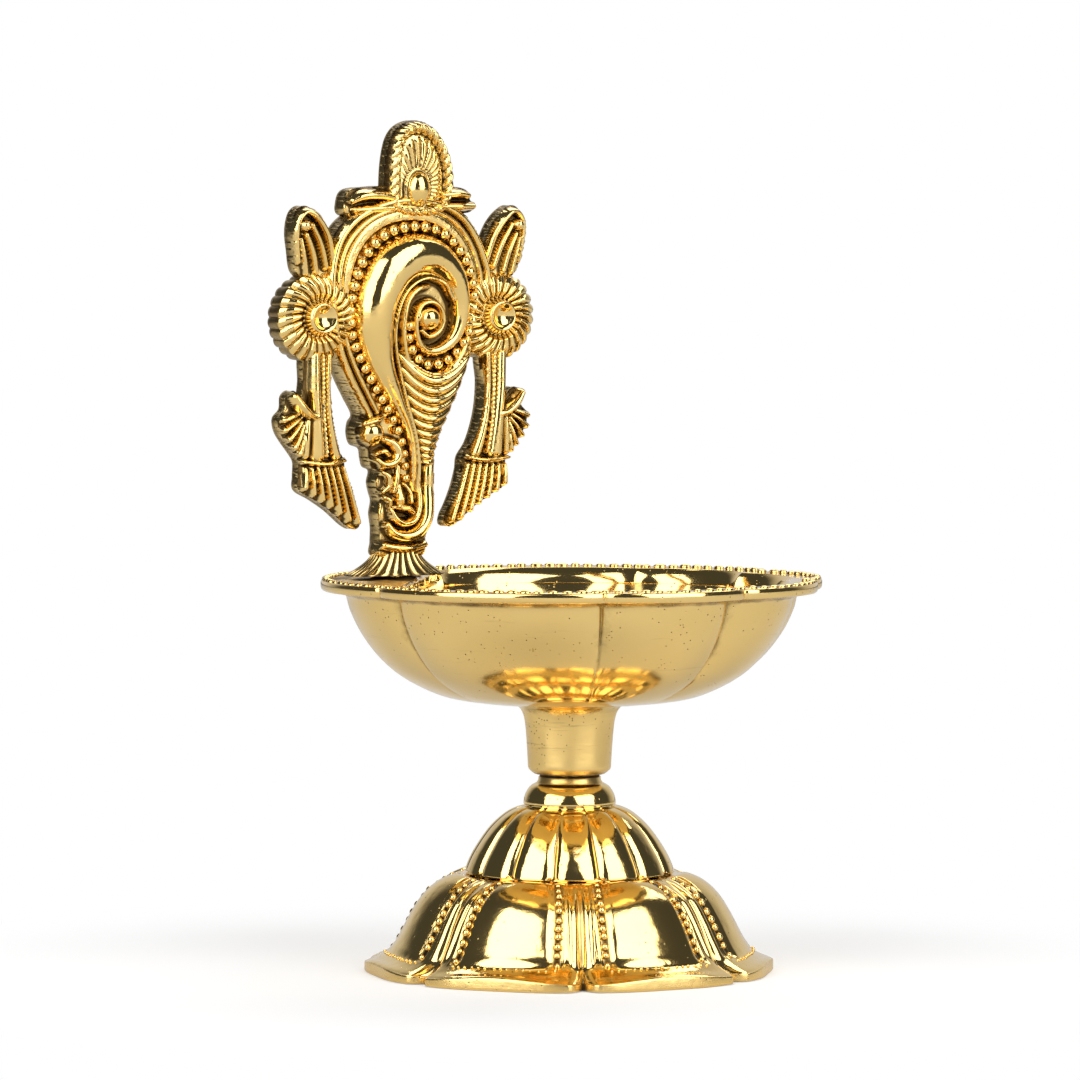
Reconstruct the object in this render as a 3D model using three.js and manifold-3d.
// A brass oil lamp (diya): a lobed bowl on a short stem, a hollow lotus foot, and an upright
// conch emblem on a ledge at one end of the bowl. Millimetres, +Z up. The bowl's axis of
// symmetry lies along X, with the emblem's end at -X.
import * as THREE from 'three';
import Module from 'manifold-3d';
import { mergeVertices } from 'three/addons/utils/BufferGeometryUtils.js';

const wasm = await Module();
wasm.setup();

// Fits
const seatGap = 0.3; // between two faces that rest on each other
const boreGap = 0.3; // all round a screw or stud in its hole
const overcut = 1; // how far a cut runs past the face it goes through
const bite = 0.2; // how far one part of a casting reaches into the next

// Lotus foot
const footRadius = 36.4; // corners of the petals on the floor
const petalCount = 7;
const petalNotch = 2.3; // how far the lip draws in between two petals
const petalHollow = 0.9; // how far the lip draws in along the middle of a petal
const petalGroove = 1.3; // valley between two petals on the skirt
const petalPanel = 0.35; // rise of the raised panel along the middle of a petal
const petalCrown = 0.5; // from the panel's edge to its middle
const petalRib = 0.4; // thin rib between the groove and the beads
const beadLine = [3.4, 4.5]; // from the groove to the beads, under the dome and down the slope
const beadRadius = 0.76; // of the beads along each side of a petal
const beadPitch = 1.74;
const footTurn = -3.3; // degrees from +X to the middle of the nearest petal
const lipHeight = 1.5;
const lipWidth = 2.6;
const footWall = 2.2;
const skirtHeight = 17.6; // floor to the step under the dome
const domeRadius = 18.5;
const domeHeight = 11.7;
const domeTopRadius = 8.2;
const flutesPerPetal = 2;
const fluteDepth = 1.35;
const fluteCrest = 0.15; // roundness of a flute's crest, as a share of half its width
const domeStep = 0.9; // the dome's edge stands out over the skirt by this much
const collarRadius = 8.1;
const collarHeight = 4;
const neckRadius = 5.5;
const neckHeight = 1.3;
const hubDepth = 6.3; // collar's top down to the flat that the washer bears on
const hubMargin = 1; // the flat goes this far past the washer

// Bowl and stem
const bowlRadius = 44.6; // middle of a lobe, outer edge of the rim
const bowlShift = 0.6; // from the stem's axis to the rim's middle, away from the emblem
const rimDraw = 2.6; // how far the rim draws in at a crease
const rimWidth = 4;
const rimThickness = 1.8;
const borderWidth = 1.9; // raised border along the rim's outer edge
const borderRise = 0.45;
const bowlDepth = 21.6; // rim's top to the lowest point of the underside
const bowlWall = 2.1;
const bowlFlat = 11; // radius where the underside turns flat
const lobeAngles = [0, 40, 77, 137, 223, 283, 320]; // creases, degrees from +X
const stemTopRadius = 7.8;
const stemFootRadius = 7.3;
const stemLength = 12.7; // neck to the lowest point of the bowl's underside
const stemFlare = 2.4;
const stemChamfer = 0.9;

// Centre stud with its washer and nut
const studRadius = 2.4;
const studInStem = 10.7;
const washerRadius = 5.6;
const washerThickness = 1;
const nutAcrossFlats = 8;
const nutHeight = 3.6;
const studBelowNut = 1.6;

// Ledge and its screw
const emblemOffset = 31; // from the bowl's axis to the emblem's own axis
const seatRadius = 4.4;
const seatRise = 0.3;
const ledgeMargin = 0.1; // from the seat to the ledge's straight edge
const ledgeCorner = 4; // degrees from the crease to the ledge's corner
const screwRadius = 1.4;
const screwCover = 1.2; // from the screw's end to the top of the emblem's neck
const screwHeadRadius = 2.7;
const screwHeadHeight = 1.7;
const screwSlotWidth = 0.8;
const screwSlotDepth = 0.9;

// Emblem: its drawing has u to the right, v up from the underside of its foot, and h forward
const emblemTurn = 38.5; // degrees from facing -Y, as the screw holds it
const emblemLean = 0.04; // forward, per millimetre of height
const plateBack = -1.5; // h of the flat back
const plateFront = 2.4; // h of the plain edge all round
const ringHalfWidth = 15.2; // of the ridge that frames the shell
const ringTop = 63.2;
const ringWidest = 50;
const pearlRadius = 0.95;
const pearlPitch = 2.1;
const rosetteRadius = 7.9;
const rosetteOffset = 18.4;
const rosetteHeight = 45.6;
const rosettePetals = 20;
const finialHalfWidth = 7;
const finialRise = 1; // from the ring's top to the finial's foot
const finialHeight = 16.1;
const finialRibs = 20;
const eyeHalfWidth = 2.3; // oval boss on the finial
const eyeHalfHeight = 3.3;
const spiralCentre = [2.7, 45];
const spiralStart = 6; // radius of the whorl's inner ridge where it begins
const spiralEnd = 3.3;
const spiralBoss = 2.3;
const shellRise = 4.3; // from the plate's edge to the whorl's crest, at its fattest
const footHalfWidth = 10.3;
const footHalfDepth = 4.4;
const footNeckHalfWidth = 4;
const footNeckWall = 0.7; // beside the screw's hole
const footNeckHeight = 5.4;
const footFlutes = 20;

// Sizes that follow
const neckTop = skirtHeight + domeHeight + collarHeight + neckHeight;
const collarTop = neckTop - neckHeight;
const domeTop = collarTop - collarHeight;
const hubFace = collarTop - hubDepth;
const stemBottom = neckTop + seatGap;
const bowlBottom = stemBottom + stemLength;
const rimTop = bowlBottom + bowlDepth;
const rimBottom = rimTop - rimThickness;
const seatTop = rimTop + seatRise;
const emblemBottom = seatTop + seatGap;
const finialBase = ringTop + finialRise;
const studHole = studRadius + boreGap;
const screwHole = screwRadius + boreGap;
const hubRadius = washerRadius + hubMargin;
const ledgeFront = emblemOffset - seatRadius - ledgeMargin;
const screwInFoot = footNeckHeight - screwCover;
const footNeckHalfDepth = screwHole + footNeckWall;

const turn = Math.PI * 2;
const rad = THREE.MathUtils.degToRad;
const mix = THREE.MathUtils.lerp;
const { cos, sin, abs, max, min } = Math;

const brass = (colour, roughness) =>
  new THREE.MeshStandardMaterial({ color: colour, roughness, metalness: 1 });
const polished = brass(0xd9a441, 0.16);
const brushed = brass(0xd2a552, 0.3);
const hardware = brass(0xb08d48, 0.45);

// Solids: a three.js geometry in, a manifold solid out, and back again
function solid(geometry) {
  const bare = geometry.clone();
  bare.deleteAttribute('normal');
  bare.deleteAttribute('uv');
  const merged = mergeVertices(bare, 1e-5);
  return new wasm.Manifold(new wasm.Mesh({
    numProp: 3,
    vertProperties: new Float32Array(merged.attributes.position.array),
    triVerts: new Uint32Array(merged.index.array),
  }));
}

function geometryOf(body) {
  const mesh = body.getMesh();
  const geometry = new THREE.BufferGeometry();
  geometry.setAttribute('position', new THREE.BufferAttribute(mesh.vertProperties, 3));
  geometry.setIndex(new THREE.BufferAttribute(mesh.triVerts, 1));
  geometry.computeVertexNormals();
  return geometry;
}

const join = (bodies) => bodies.reduce((whole, body) => whole.add(body));

// A closed surface woven from rings of points. point(row, column) gives each one; rings close on
// themselves, and the rows either close too or end in a pole at each end.
function woven(rows, columns, point, closed) {
  const positions = [];
  const faces = [];
  const ringRows = closed ? rows : rows - 2;
  const first = closed ? 0 : 1;
  for (let row = 0; row < ringRows; row += 1) {
    for (let column = 0; column < columns; column += 1) {
      positions.push(...point(row + first, column));
    }
  }
  const index = (row, column) => (row % ringRows) * columns + (column % columns);
  const bands = closed ? ringRows : ringRows - 1;
  for (let row = 0; row < bands; row += 1) {
    for (let column = 0; column < columns; column += 1) {
      const [a, b] = [index(row, column), index(row, column + 1)];
      const [c, d] = [index(row + 1, column + 1), index(row + 1, column)];
      faces.push(a, d, b, b, d, c);
    }
  }
  if (!closed) {
    const start = positions.push(...point(0, 0)) / 3 - 1;
    const end = positions.push(...point(rows - 1, 0)) / 3 - 1;
    for (let column = 0; column < columns; column += 1) {
      faces.push(start, index(0, column), index(0, column + 1));
      faces.push(end, index(ringRows - 1, column + 1), index(ringRows - 1, column));
    }
  }
  const geometry = new THREE.BufferGeometry();
  geometry.setAttribute('position', new THREE.Float32BufferAttribute(positions, 3));
  geometry.setIndex(faces);
  return geometry;
}

const upright = (radius, height, sides = 32) =>
  new THREE.CylinderGeometry(radius, radius, height, sides).rotateX(Math.PI / 2);

// How far along its lobe an angle lies, from 0 at one crease to 1 at the next
function along(angle, edges) {
  const full = ((angle % 360) + 360) % 360;
  const last = edges.length - 1;
  let start = edges[last];
  let end = edges[0] + 360;
  for (let i = 0; i < last; i += 1) {
    if (full >= edges[i] && full < edges[i + 1]) {
      start = edges[i];
      end = edges[i + 1];
    }
  }
  return (full - start) / (end - start);
}

// The skirt's bell curve, as shares of the way out to the lip and of the way up from it
const bell = [
  [0.07, 0.97], [0.27, 0.89], [0.46, 0.68], [0.6, 0.42], [0.72, 0.21], [0.8, 0.14], [0.88, 0.08],
];
const reliefEnd = 4; // number of the bell's last point that carries the petals' relief
const bellPoint = ([out, up]) => [mix(domeRadius, footRadius, out), mix(lipHeight, skirtHeight, up)];

// The dome's curve, as shares of the way out from its top and of the way up from the skirt
const domeCurve = [
  [0, 1], [0.2, 0.965], [0.39, 0.88], [0.59, 0.71], [0.74, 0.53], [0.87, 0.31], [0.96, 0.14], [1, 0],
];

// Stations down the outside of the lotus foot. Each has a radius, a height, and its share of the
// petals' grooves, of the dome's flutes, of the lip's outline and of the petals' relief.
function footStations() {
  const stations = [];
  const add = (radius, height, petal = 0, flute = 0, lip = 0, relief = 0) =>
    stations.push({ radius, height, petal, flute, lip, relief });
  add(0, neckTop);
  add(neckRadius, neckTop);
  add(neckRadius, collarTop);
  const collarSteps = 4;
  const collarRoll = rad(112);
  for (let i = 1; i <= collarSteps; i += 1) {
    const a = (i / collarSteps) * collarRoll;
    const down = (1 - cos(a)) / (1 - cos(collarRoll));
    add(mix(neckRadius, collarRadius, sin(a)), mix(collarTop, domeTop, down));
  }
  const topFlute = 0.35; // the flutes' share of their depth where they leave the collar
  for (const [out, up] of domeCurve) {
    add(mix(domeTopRadius, domeRadius, out), mix(skirtHeight, domeTop, up), 0, mix(topFlute, 1, out));
  }
  add(domeRadius - domeStep, skirtHeight - domeStep / 2, 0.15);
  bell.forEach((share, i) => {
    const [out] = share;
    add(...bellPoint(share), 1 - out * 0.4, 0, out ** 4, i > reliefEnd ? 0 : 1);
  });
  add(footRadius, lipHeight, 0, 0, 1);
  add(footRadius, 0, 0, 0, 1);
  add(0, 0);
  return stations;
}

// How far from the groove the beads run, at a height on the skirt
function beadsAway(height) {
  const [, lowest] = bellPoint(bell[reliefEnd]);
  return mix(...beadLine, (skirtHeight - height) / (skirtHeight - lowest));
}

// The relief across half a petal, from the groove to the middle, as distances from the groove
// and rises: a thin rib, the channel that the beads lie in, and the raised panel
function petalSection({ radius, height }) {
  const beads = beadsAway(height);
  const half = (radius * Math.PI) / petalCount;
  const panelFoot = beads + beadRadius;
  const panelEdge = panelFoot + petalPanel;
  return [
    [0, 0], [beads * 0.37, petalRib], [beads * 0.65, 0], [panelFoot, 0],
    [panelEdge, petalPanel], [mix(panelEdge, half, 0.45), petalPanel + petalCrown * 0.75],
    [half, petalPanel + petalCrown],
  ];
}

// A point of the foot's outside, at a share of the way across a petal
function footPoint({ radius, height, petal, flute, lip, relief }, petalNumber, across, rise = 0) {
  const angle = ((petalNumber + across) / petalCount) * turn;
  const cornerShare = 0.28; // of half a petal, where the lip's notch has run out
  const petalFullness = 0.45; // the lower, the flatter the petal between its grooves
  const swell = sin(across * Math.PI) ** petalFullness;
  const notch = max(0, 1 - (min(across, 1 - across) * 2) / cornerShare);
  const fromCrest = abs(((across * flutesPerPetal + 0.5) % 1) - 0.5) * 2;
  const valley = (Math.hypot(fromCrest, fluteCrest) - fluteCrest) / (Math.hypot(1, fluteCrest) - fluteCrest);
  const r = radius
    + relief * rise
    - petal * petalGroove * (1 - swell)
    - flute * fluteDepth * valley
    - lip * (petalNotch * notch + petalHollow * sin(across * Math.PI) ** 4);
  return [r * cos(angle), r * sin(angle), height];
}

const shareAcross = (away, { radius }) => (away * petalCount) / (radius * turn);

function footOutside() {
  const stations = footStations();
  const halfSteps = 6; // from a groove to the middle of the petal
  const stepsPerPetal = halfSteps * 2;
  const point = (row, column) => {
    const station = stations[row];
    const place = column % stepsPerPetal;
    const fromGroove = min(place, stepsPerPetal - place);
    const [away, rise] = station.relief ? petalSection(station)[fromGroove] : [0, 0];
    const edge = station.relief ? shareAcross(away, station) : fromGroove / stepsPerPetal;
    return footPoint(station, Math.floor(column / stepsPerPetal), place > halfSteps ? 1 - edge : edge, rise);
  };
  return woven(stations.length, petalCount * stepsPerPetal, point, false);
}

// The beads lie in the channels, at an even pitch down the slope
function petalBeads() {
  const cornerReach = 1.15; // its corners stand out past the round bead
  const bead = solid(new THREE.OctahedronGeometry(beadRadius * cornerReach));
  const slope = footStations().filter((station) => station.relief);
  const rows = [];
  for (let petal = 0; petal < petalCount; petal += 1) {
    for (const side of [-1, 1]) {
      const path = new THREE.CurvePath();
      const points = slope.map((station) => {
        const edge = shareAcross(beadsAway(station.height), station);
        return new THREE.Vector3(...footPoint(station, petal, side > 0 ? edge : 1 - edge));
      });
      points.slice(1).forEach((end, i) => path.add(new THREE.LineCurve3(points[i], end)));
      const count = Math.round(path.getLength() / beadPitch);
      for (let i = 0; i < count; i += 1) {
        rows.push(bead.translate(path.getPoint((i + 0.5) / count).toArray()));
      }
    }
  }
  return rows;
}

// The hollow under the foot keeps the wall's thickness behind the deepest groove, and ends in
// the flat that the washer bears on
function footHollow() {
  const lipInside = footRadius - petalNotch - lipWidth;
  const lipInsideHeight = lipHeight * 0.4;
  const inward = footWall + petalGroove / 2;
  const roofRadius = domeRadius - footWall * 2.2; // where the hollow's cone under the hub starts
  const curve = [bell[4], bell[3], bell[2], bell[1]].map((share) => {
    const [radius, height] = bellPoint(share);
    return [radius - inward, height - footWall / 2];
  });
  const profile = [
    [0, -overcut], [lipInside, -overcut], [lipInside, lipInsideHeight], ...curve,
    [domeRadius - footWall - fluteDepth, skirtHeight - footWall / 2],
    [roofRadius, mix(skirtHeight, hubFace, 0.45)],
    [hubRadius, hubFace], [0, hubFace],
  ].map(([r, z]) => new THREE.Vector2(r, z));
  return new THREE.LatheGeometry(profile, 42).rotateX(Math.PI / 2);
}

function lotusFoot() {
  const length = neckTop - hubFace + overcut * 2;
  const bore = upright(studHole, length, 24).translate(0, 0, (neckTop + hubFace) / 2);
  const halfPetal = 180 / petalCount;
  return geometryOf(
    join([solid(footOutside()), ...petalBeads()]).subtract(solid(footHollow())).subtract(solid(bore)),
  ).rotateZ(rad(footTurn + halfPetal));
}

// The rim's outline: each lobe swells between its two creases
function lobeSwell(angle) {
  const t = along(angle, lobeAngles) * 2 - 1;
  return Math.sqrt(max(0, 1 - t * t));
}

// Angles of the bowl's columns: one at every crease, and closer together next to it
function bowlAngles() {
  const angles = [];
  const step = 10;
  const gathered = 0.35;
  lobeAngles.forEach((start, i) => {
    const end = i + 1 < lobeAngles.length ? lobeAngles[i + 1] : lobeAngles[0] + 360;
    const steps = 2 * Math.round((end - start) / step);
    for (let k = 0; k < steps; k += 1) {
      const even = k / steps;
      const eased = (1 - cos(even * Math.PI)) / 2;
      angles.push(mix(start, end, mix(even, eased, gathered)));
    }
  });
  return angles;
}

// Stations of the bowl: from the middle of its floor up the inside, over the rim, down the
// outside and the stem, and up the stud's blind hole to the axis. share is how much of the
// rim's lobed shape the station has.
function bowlStations() {
  const stations = [];
  const add = (radius, height, share = 0) => stations.push({ radius, height, share });
  const wallTop = bowlRadius - rimWidth;
  const floor = bowlBottom + bowlWall;
  const steps = 6;
  const shares = Array.from({ length: steps }, (_, i) => (i + 1) / steps);
  const flareFoot = stemFlare * 0.3; // where the flare under the bowl turns from flat to steep
  const rimRound = 1.1; // between the wall's inside and the rim's flat
  const edgeRound = 0.4; // of the border and the rim's outer edge
  add(0, floor);
  for (const t of shares) {
    const a = t * (Math.PI / 2);
    const radius = (wallTop - rimRound) * sin(a) ** 0.82;
    add(radius, mix(rimTop - rimRound, floor, cos(a) ** 1.1), t ** 1.5);
  }
  add(wallTop, rimTop, 1);
  add(bowlRadius - borderWidth, rimTop, 1);
  add(bowlRadius - borderWidth + edgeRound, rimTop + borderRise, 1);
  add(bowlRadius - edgeRound, rimTop + borderRise, 1);
  add(bowlRadius, rimTop - edgeRound, 1);
  add(bowlRadius - edgeRound / 2, rimBottom, 1);
  add(wallTop + edgeRound, rimBottom, 1);
  for (const t of shares.reverse()) {
    const a = t * (Math.PI / 2);
    const radius = mix(bowlFlat, wallTop, sin(a));
    add(radius, mix(rimBottom - rimRound, bowlBottom, cos(a)), t ** 1.5);
  }
  add(bowlFlat, bowlBottom);
  add(stemTopRadius + flareFoot, bowlBottom - flareFoot);
  add(stemTopRadius, bowlBottom - stemFlare);
  add(stemFootRadius, stemBottom + stemChamfer);
  add(stemFootRadius - stemChamfer, stemBottom);
  add(studHole, stemBottom);
  add(studHole, stemBottom + studInStem + seatGap);
  add(0, stemBottom + studInStem + seatGap);
  return stations;
}

function bowlShell() {
  const stations = bowlStations();
  const angles = bowlAngles();
  const point = (row, column) => {
    const { radius, height, share } = stations[row];
    const angle = rad(angles[column % angles.length]);
    const r = radius - rimDraw * share * (1 - lobeSwell(angles[column % angles.length]));
    return [r * cos(angle) + bowlShift * share, r * sin(angle), height];
  };
  return woven(stations.length, angles.length, point, false);
}

// The ledge closes the emblem's end of the bowl at the height of the rim
function ledge() {
  const shape = new THREE.Shape();
  const outer = bowlRadius - rimWidth / 2;
  const start = lobeAngles[3] + ledgeCorner;
  const steps = 14;
  shape.moveTo(-ledgeFront, outer * sin(rad(start)));
  for (let i = 0; i <= steps; i += 1) {
    const angle = mix(start, 360 - start, i / steps);
    const r = outer - rimDraw * (1 - lobeSwell(angle));
    shape.lineTo(r * cos(rad(angle)) + bowlShift, r * sin(rad(angle)));
  }
  shape.lineTo(-ledgeFront, -outer * sin(rad(start)));
  const floor = new THREE.ExtrudeGeometry(shape, { depth: rimThickness, bevelEnabled: false });
  const seatHeight = seatRise + rimThickness / 2;
  const seat = upright(seatRadius, seatHeight).translate(-emblemOffset, 0, seatTop - seatHeight / 2);
  return solid(floor.translate(0, 0, rimBottom)).add(solid(seat));
}

function bowl() {
  const length = seatTop - rimBottom + overcut * 2;
  const screwWay = upright(screwHole, length, 24).translate(-emblemOffset, 0, (seatTop + rimBottom) / 2);
  return geometryOf(solid(bowlShell()).add(ledge()).subtract(solid(screwWay)));
}

// Centre stud, washer and nut
const studBottom = hubFace - seatGap - washerThickness - seatGap - nutHeight - studBelowNut;
const studTop = stemBottom + studInStem;

function stemStud() {
  const tip = 0.5;
  const profile = [
    [0, studBottom], [studRadius - tip, studBottom], [studRadius, studBottom + tip],
    [studRadius, studTop - tip], [studRadius - tip, studTop], [0, studTop],
  ].map(([r, z]) => new THREE.Vector2(r, z));
  return new THREE.LatheGeometry(profile, 24).rotateX(Math.PI / 2);
}

function studWasher() {
  const ring = new THREE.Shape().absarc(0, 0, washerRadius, 0, turn);
  ring.holes.push(new THREE.Path().absarc(0, 0, studHole, 0, turn, true));
  const washer = new THREE.ExtrudeGeometry(ring, {
    depth: washerThickness, bevelEnabled: false, curveSegments: 12,
  });
  return washer.translate(0, 0, hubFace - seatGap - washerThickness);
}

function studNut() {
  const corner = nutAcrossFlats / 2 / cos(Math.PI / 6);
  const hexagon = new THREE.Shape();
  for (let i = 0; i < 6; i += 1) {
    const a = (i / 6) * turn;
    if (i === 0) hexagon.moveTo(corner * cos(a), corner * sin(a));
    else hexagon.lineTo(corner * cos(a), corner * sin(a));
  }
  hexagon.holes.push(new THREE.Path().absarc(0, 0, studHole, 0, turn, true));
  const nut = new THREE.ExtrudeGeometry(hexagon, {
    depth: nutHeight, bevelEnabled: false, curveSegments: 16,
  });
  return nut.translate(0, 0, hubFace - seatGap * 2 - washerThickness - nutHeight);
}

function emblemScrew() {
  const headTop = rimBottom - seatGap;
  const head = upright(screwHeadRadius, screwHeadHeight).translate(0, 0, headTop - screwHeadHeight / 2);
  const shankLength = emblemBottom + screwInFoot - headTop + bite;
  const shank = upright(screwRadius, shankLength, 20).translate(0, 0, headTop - bite + shankLength / 2);
  const slotLength = (screwHeadRadius + overcut) * 2;
  const slot = new THREE.BoxGeometry(slotLength, screwSlotWidth, screwSlotDepth * 2);
  slot.translate(0, 0, headTop - screwHeadHeight);
  return geometryOf(solid(head).add(solid(shank)).subtract(solid(slot))).translate(-emblemOffset, 0, 0);
}

// The emblem's parts are drawn in u, v and h. A rope is an oval bar along a curve in the
// drawing; its half widths are given at evenly spaced points of the curve.
function rope(points, halfWidths, { h = plateFront, tall = 0.8, steps = 12, sides = 6, ribs = 0 } = {}) {
  const curve = new THREE.CatmullRomCurve3(points.map(([u, v]) => new THREE.Vector3(u, v, h)));
  const rings = steps + 1;
  const ribDepth = 0.07; // share of the width, each way
  const endReach = 0.5; // the pole at each end, as a share of the width
  const point = (row, column) => {
    const t = min(max((row - 1) / steps, 0), 1);
    const centre = curve.getPoint(t);
    const tangent = curve.getTangent(t);
    const slot = t * (halfWidths.length - 1);
    const below = min(Math.floor(slot), halfWidths.length - 2);
    let width = halfWidths.length > 1
      ? mix(halfWidths[below], halfWidths[below + 1], slot - below)
      : halfWidths[0];
    if (ribs) width *= 1 - ribDepth * (1 + cos(t * ribs * turn));
    if (row === 0 || row === rings + 1) {
      const reach = width * endReach * (row === 0 ? -1 : 1);
      return [centre.x + tangent.x * reach, centre.y + tangent.y * reach, h];
    }
    const a = (column / sides) * turn;
    const [side, up] = [width * cos(a), width * tall * sin(a)];
    return [centre.x - tangent.y * side, centre.y + tangent.x * side, h + up];
  };
  return solid(woven(rings + 2, sides, (row, column) => point(row, sides - column), false));
}

function plate(shape, back = plateBack, front = plateFront) {
  const body = new THREE.ExtrudeGeometry(shape, {
    depth: front - back, bevelEnabled: false, curveSegments: 3,
  });
  return solid(body.translate(0, 0, back));
}

function smoothShape(points) {
  const shape = new THREE.Shape();
  shape.moveTo(...points[0]);
  shape.splineThru(points.slice(1).map(([u, v]) => new THREE.Vector2(u, v)));
  return shape;
}

// Points measured outwards and upwards from a centre, on the right side (1) or the left (-1)
const from = ([u, v], points, side = 1) => points.map(([du, dv]) => [(u + du) * side, v + dv]);

// The field behind the conch: widest at the rosettes, drawn in to the stem over the foot
function field() {
  const half = ringHalfWidth + 1;
  const root = footNeckHeight - 1.8; // sunk in the neck of the foot
  return plate(smoothShape([
    [4.6, root], [5, 12], [5.4, 19.5], [7.8, 26.5], [11.6, 34], [half - 1.2, 42], [half, ringWidest],
    [half * 0.8, ringTop - 3], [0, ringTop + 1.8], [-half * 0.8, ringTop - 3], [-half, ringWidest],
    [1.4 - half, 42], [-10.8, 34], [-7.6, 28], [-6.4, 21], [-4.2, 14], [-4.2, root],
  ]));
}

// The ridges that frame the conch and the plain band inside them
function ringRidges() {
  const arch = (inset) => {
    const half = ringHalfWidth - inset;
    const top = ringTop - inset;
    return [
      [half - 3.6, 36], [half - 0.6, 43], [half, ringWidest], [half * 0.78, top - half * 0.36], [0, top],
      [-half * 0.78, top - half * 0.36], [-half, ringWidest], [0.8 - half, 43], [4.6 - half, 35],
    ];
  };
  return [
    rope(arch(0), [1, 1.25, 1.3, 1.3, 1.3, 1.25, 1], { steps: 18, tall: 0.9 }),
    rope(arch(2.1), [0.5, 0.8, 0.8, 0.8, 0.5], { steps: 16, h: plateFront + 0.4 }),
  ];
}

// The string of pearls round the whorl: down the left to the tail, and on the right curling in
// under the spiral
function pearlPath() {
  const half = ringHalfWidth - 2.6;
  return new THREE.CatmullRomCurve3([
    [-0.2, 17], [-0.5, 21], [-2.3, 26.5], [-5.6, 33], [-9.4, 38.6], [0.4 - half, ringWidest - 6],
    [0.6 - half, ringWidest], [4.2 - half, ringTop - 6.2], [-3, ringTop - 2.5], [1.5, ringTop - 2],
    [half - 5.2, ringTop - 4], [half - 1, ringTop - 9.2], [half + 0.5, ringWidest - 3],
    [half - 1, ringWidest - 8.4], [8.2, 38], [4.4, 36.7], [1.2, 38.4], [0.4, 41.2],
  ].map(([u, v]) => new THREE.Vector3(u, v, plateFront + 0.7)));
}

function pearls() {
  const path = pearlPath();
  const count = Math.floor(path.getLength() / pearlPitch);
  const cornerReach = 1.15; // its corners stand out past the round pearl
  const pearl = solid(new THREE.OctahedronGeometry(pearlRadius * cornerReach));
  return Array.from({ length: count }, (_, i) => {
    const { x, y, z } = path.getPointAt((i + 0.5) / count);
    return pearl.translate([x, y, z]);
  });
}

// The conch: a fat whorl that swells from its tail, turns over the top and winds in to a boss,
// with a ribbed spire below
function conch() {
  const [cu, cv] = spiralCentre;
  const whorlWidths = [0.9, 1.2, 2, 3.2, 4.1, 4.5, 4.3, 3.3, 2, 1.5, 1.3, 0.8];
  const whorl = rope([
    [1.2, 16], [0.7, 22], [-1.5, 29], [-5, 36.5],
    ...from(spiralCentre, [
      [-9.5, -1], [-7.7, 6.5], [-2.1, 10.6], [3.9, 9], [7.2, 4], [6.7, -1.6], [3.3, -5.1], [-1.2, -4.4],
    ]),
  ], whorlWidths, { steps: 24, sides: 8, tall: shellRise / max(...whorlWidths) });
  const turns = 1.35;
  const coil = Array.from({ length: 12 }, (_, i) => {
    const t = i / 11;
    const a = Math.PI * 1.25 - t * turns * turn;
    const r = spiralStart * (spiralEnd / spiralStart) ** t;
    return [cu + r * cos(a), cv + r * sin(a)];
  });
  const ridge = rope([[-1.2, 34], [-2.8, 39], ...coil.slice(1)], [0.7, 1, 0.9, 0.8], {
    steps: 24, h: plateFront + 1.6,
  });
  const boss = solid(new THREE.IcosahedronGeometry(spiralBoss, 1).translate(cu, cv, plateFront + 1.8));
  const spire = rope([[4.8, 38.5], [5, 34], [4.9, 29], [4.2, 24], [3.9, 19]], [7, 5.6, 3.9, 2.4, 1.5], {
    steps: 27, sides: 6, tall: 0.55, ribs: 9,
  });
  return [whorl, ridge, boss, spire];
}

// The shaft hooks to the left over the foot; a strand with a ball and small leaves follow the
// left side
function shaftAndLeaves() {
  const ball = solid(new THREE.IcosahedronGeometry(2.1, 1).translate(-6.6, 25.2, plateFront + 0.6));
  return [
    rope([[3.8, 21], [3.9, 14], [3.5, 9.6], [1.4, 7.2], [-1.4, 7.2], [-3, 9]], [1.4, 1.4, 1.3, 1.2, 0.9], {
      steps: 9,
    }),
    rope([[1.3, 17], [1.3, 12.6], [-0.2, 10.4], [-1.8, 11.6], [-1, 13.2]], [0.8, 0.9, 0.8, 0.6], {
      steps: 8,
    }),
    rope([[-12.4, 40], [-10, 34], [-7.4, 28.6]], [0.8, 1, 0.8], { steps: 4 }),
    rope([[-10.8, 39.4], [-8.4, 33.6], [-6, 28.4]], [0.7, 0.9, 0.7], { steps: 4 }),
    rope([[-8.6, 27.2], [-4.9, 28.2]], [0.8], { steps: 3 }),
    ball,
    rope([[-4, 23.4], [-2.6, 21.8], [-3.4, 20], [-5.6, 20.4]], [0.7, 1.1, 1, 0.6], { steps: 8 }),
    rope([[-2.2, 18.8], [-2.2, 16], [-3.4, 14]], [0.7, 0.9, 0.6], { steps: 6 }),
  ];
}

// A ribbed medallion: a low dome whose ribs fan out from its centre. outline(angle) is its
// radius, and crown gives the rise over the plate's edge at shares of that radius.
function medallion([cu, cv], outline, ribs, crown) {
  const columns = ribs * 2;
  const scallop = 0.035; // how far the edge draws in between two ribs, as a share of the radius
  const valley = 0.45; // depth between two ribs at the edge
  const ribsFrom = 0.45; // share of the radius where the ribs start
  const rises = [[1, 0], ...crown, [0, crown.at(-1)[1]]].map(([share, rise]) => [share, plateFront + rise]);
  const stations = [[0, plateBack], [1, plateBack], ...rises];
  const point = (row, column) => {
    const [share, h] = stations[row];
    const angle = (column / columns) * turn;
    const between = share > ribsFrom ? column % 2 : 0;
    const r = outline(angle) * share * (1 - scallop * between);
    const onCrown = row > 2;
    return [cu + r * cos(angle), cv + r * sin(angle), onCrown ? h - valley * between * share : h];
  };
  return solid(woven(stations.length, columns, (row, column) => point(row, columns - column), false));
}

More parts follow.
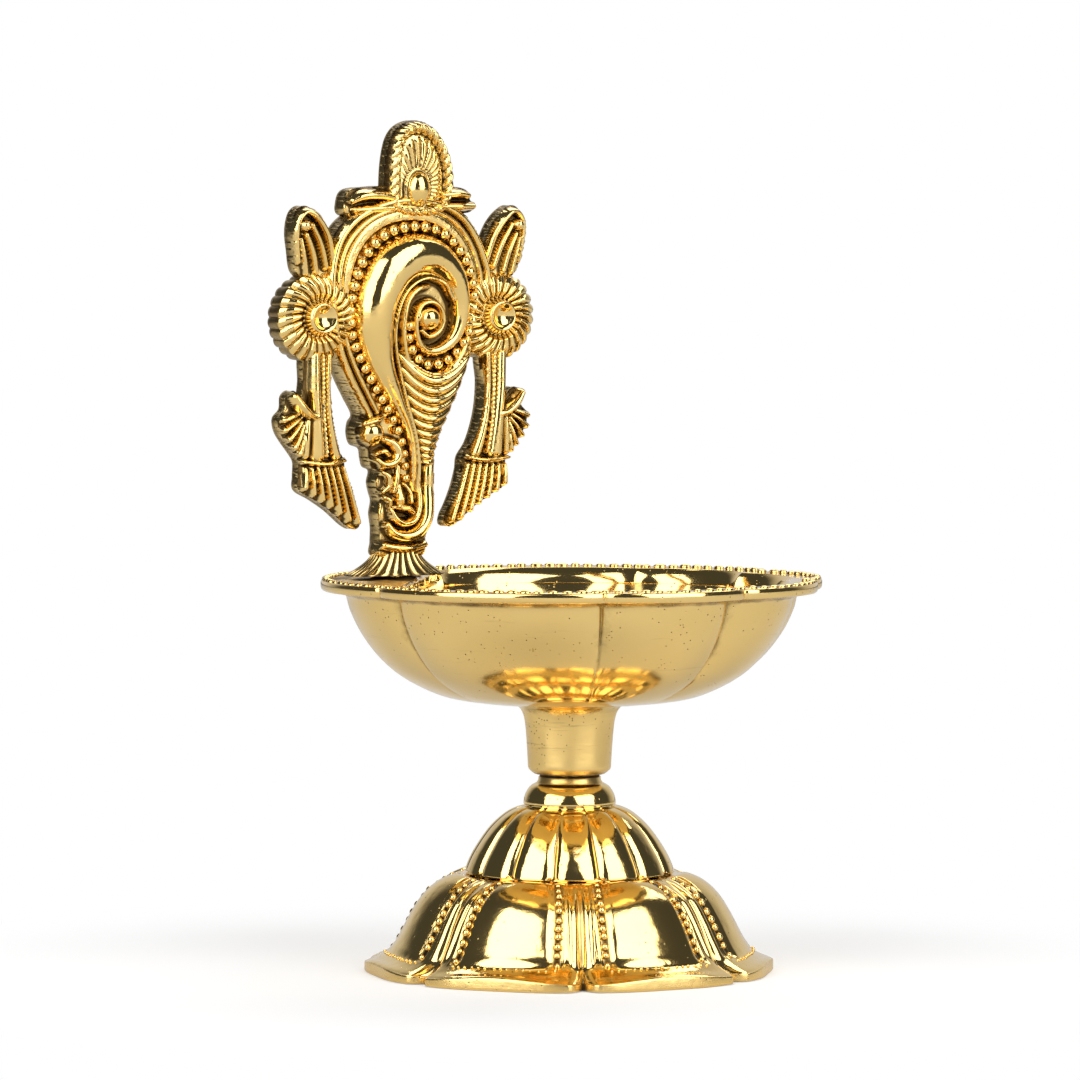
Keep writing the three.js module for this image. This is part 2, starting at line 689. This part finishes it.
const rosette = (side) => medallion(
  [rosetteOffset * side, rosetteHeight], () => rosetteRadius, rosettePetals,
  [[0.72, 1.2], [0.46, 0.7], [0.38, 2], [0.26, 1.5]],
);

function finial() {
  const centre = [0, finialBase + eyeHalfHeight];
  const top = finialHeight - eyeHalfHeight;
  const bottom = eyeHalfHeight + bite * 3;
  const eyeRise = 1.6;
  const outline = (angle) => {
    const up = sin(angle);
    const reach = up > 0 ? top : bottom;
    const power = up > 0 ? 2.15 : 2.6;
    return 1 / ((abs(cos(angle)) / finialHalfWidth) ** power + (abs(up) / reach) ** power) ** (1 / power);
  };
  const leaf = medallion(centre, outline, finialRibs, [[0.72, 1.9], [0.7, 1.5], [0.45, 2.2]]);
  const eye = new THREE.SphereGeometry(1, 12, 8).scale(eyeHalfWidth, eyeHalfHeight, eyeRise);
  return [leaf, solid(eye.translate(...centre, plateFront + 2))];
}

// Two short scrolls at each side of the finial's foot
const scrolls = (side) => [
  rope(from([0, finialBase], [[5, 2.2], [9, 2.4], [11.4, 2.4]], side), [1.3, 1.5, 1.2], { steps: 4 }),
  rope(from([0, finialBase], [[4, 0.6], [8, 0.7], [12.4, 0.7]], side), [1, 1.2, 1], {
    steps: 4, h: plateFront + 0.3,
  }),
];

const rosetteCentre = [rosetteOffset, rosetteHeight];

// A pointed leaf with three ribs stands above each rosette
const ear = (side) => [
  plate(smoothShape(from(rosetteCentre, [
    [-4.8, 7.4], [-3, 13.8], [-0.4, 17.8], [2.6, 19.6], [5.4, 18], [6, 14.4], [4.2, 8.4], [2, 4.4],
  ], side))),
  rope(from(rosetteCentre, [[-2.6, 8.4], [-1, 14], [2.6, 18.4], [5, 15.4], [3.6, 8.4]], side),
    [0.7, 0.8, 0.8, 0.7], { steps: 8 }),
  rope(from(rosetteCentre, [[-0.4, 7], [0.8, 11.4], [2.2, 15.8]], side), [0.8, 0.9, 0.6], { steps: 5 }),
];

// A pleated fan of a ribbon: a flat corner piece with pleats from one line of points to another
function fan(corners, start, end, tips, side) {
  const outline = from(rosetteCentre, corners, side).map(([u, v]) => new THREE.Vector2(u, v));
  const pleats = tips.map((tip, i) => {
    const t = i / (tips.length - 1);
    const root = [mix(start[0], end[0], t), mix(start[1], end[1], t)];
    return rope(from(rosetteCentre, [root, tip], side), [0.5, 0.75], { steps: 2 });
  });
  return [plate(new THREE.Shape(outline)), ...pleats];
}

// A ribbon hangs from each rosette. It is tied twice, and each tie throws out a pleated fan.
function ribbon(side) {
  const strandPlate = plate(smoothShape(from(rosetteCentre, [
    [-3.8, -3.6], [-4.6, -11.6], [-5.4, -18.6], [-6.8, -25.6], [2.8, -25.6], [2.2, -18.6], [2, -12.6],
    [2.6, -3.6],
  ], side)));
  const strands = [-3, -0.8, 1].map((u, i) => rope(
    from(rosetteCentre, [[u, -5.6], [u - 0.4, -14.6], [u - 1.6 + i, -25]], side),
    [0.8, 0.9, 1.1], { steps: 4 },
  ));
  const upper = fan(
    [[0.6, -14.6], [5, -12.6], [8, -17.2], [6.4, -21], [3.2, -25], [0.2, -21.6]],
    [1, -18.2], [5.2, -14.6],
    [[3.4, -23.4], [5, -21.6], [6.4, -19.8], [7.4, -17.8]], side,
  );
  const lower = fan(
    [[-7.2, -25], [3, -25], [3.2, -29.7], [-2.8, -33.4], [-7, -36.7], [-10, -37.2], [-10.8, -35.4]],
    [-6.6, -26.2], [2.4, -26.2],
    [[-9.6, -36], [-7, -35.4], [-4.4, -33.6], [-2, -32.1], [0.4, -30.7], [2.5, -29.4]], side,
  );
  const tie = { steps: 4, h: plateFront + 0.4 };
  return [
    strandPlate, ...strands, ...upper, ...lower,
    rope(from(rosetteCentre, [[0, -17], [3, -15.6], [5.6, -13]], side), [0.9, 1.1, 0.9], tie),
    rope(from(rosetteCentre, [[-7, -25.2], [-2, -25.6], [3.2, -25.2]], side), [0.8], tie),
  ];
}

// The emblem's foot: it spreads from the stem to a flat fluted oval
function emblemFoot() {
  const levels = [0, 0.05, 0.16, 0.34, 0.6, 1];
  const columns = footFlutes * 2;
  const square = 2.6; // how squarish the oval is: 2 is an ellipse
  const fluteShare = 0.05; // depth of a flute, as a share of the width
  const edgeFlute = 0.02; // the same at the floor edge
  const point = (row, column) => {
    const level = levels[min(max(row - 1, 0), levels.length - 1)];
    const v = level * footNeckHeight;
    if (row === 0 || row === levels.length + 1) return [0, v, 0];
    const spread = (1 - level) ** 2.2;
    const angle = (column / columns) * turn;
    const half = mix(footNeckHalfWidth, footHalfWidth, spread);
    const depth = mix(footNeckHalfDepth, footHalfDepth, spread);
    const flute = 1 - (column % 2) * (row > 1 ? fluteShare : edgeFlute);
    const scale = (abs(cos(angle)) ** square + abs(sin(angle)) ** square) ** (-1 / square);
    return [half * cos(angle) * scale * flute, v, -depth * sin(angle) * scale * flute];
  };
  return solid(woven(levels.length + 2, columns, (row, column) => point(row, columns - column), false));
}

function conchEmblem() {
  const parts = [
    emblemFoot(), field(), ...ringRidges(), ...conch(), ...shaftAndLeaves(), ...finial(), ...pearls(),
  ];
  for (const side of [-1, 1]) parts.push(rosette(side), ...scrolls(side), ...ear(side), ...ribbon(side));
  const depth = screwInFoot + boreGap;
  const screwWay = new THREE.CylinderGeometry(screwHole, screwHole, depth + overcut, 24);
  screwWay.translate(0, (depth - overcut) / 2, 0);
  const lean = [1, 0, 0, 0, 0, 1, emblemLean, 0, 0, 0, 1, 0, 0, 0, 0, 1]; // h grows with v
  return geometryOf(join(parts).transform(lean).subtract(solid(screwWay)))
    .rotateX(Math.PI / 2)
    .rotateZ(rad(emblemTurn))
    .translate(-emblemOffset, 0, emblemBottom);
}

// The lamp is set over the middle of its own bounds, on the floor
const lamp = new THREE.Group();
const pieces = [
  ['lotus_foot', lotusFoot(), polished],
  ['bowl', bowl(), brushed],
  ['stem_stud', stemStud(), hardware],
  ['stud_washer', studWasher(), hardware],
  ['stud_nut', studNut(), hardware],
  ['conch_emblem', conchEmblem(), polished],
  ['emblem_screw', emblemScrew(), hardware],
];
for (const [name, geometry, material] of pieces) {
  const mesh = new THREE.Mesh(geometry, material);
  mesh.name = name;
  lamp.add(mesh);
}
const bounds = new THREE.Box3().setFromObject(lamp);
const middle = bounds.getCenter(new THREE.Vector3());
lamp.position.set(-middle.x, -middle.y, -bounds.min.z);

export default lamp;
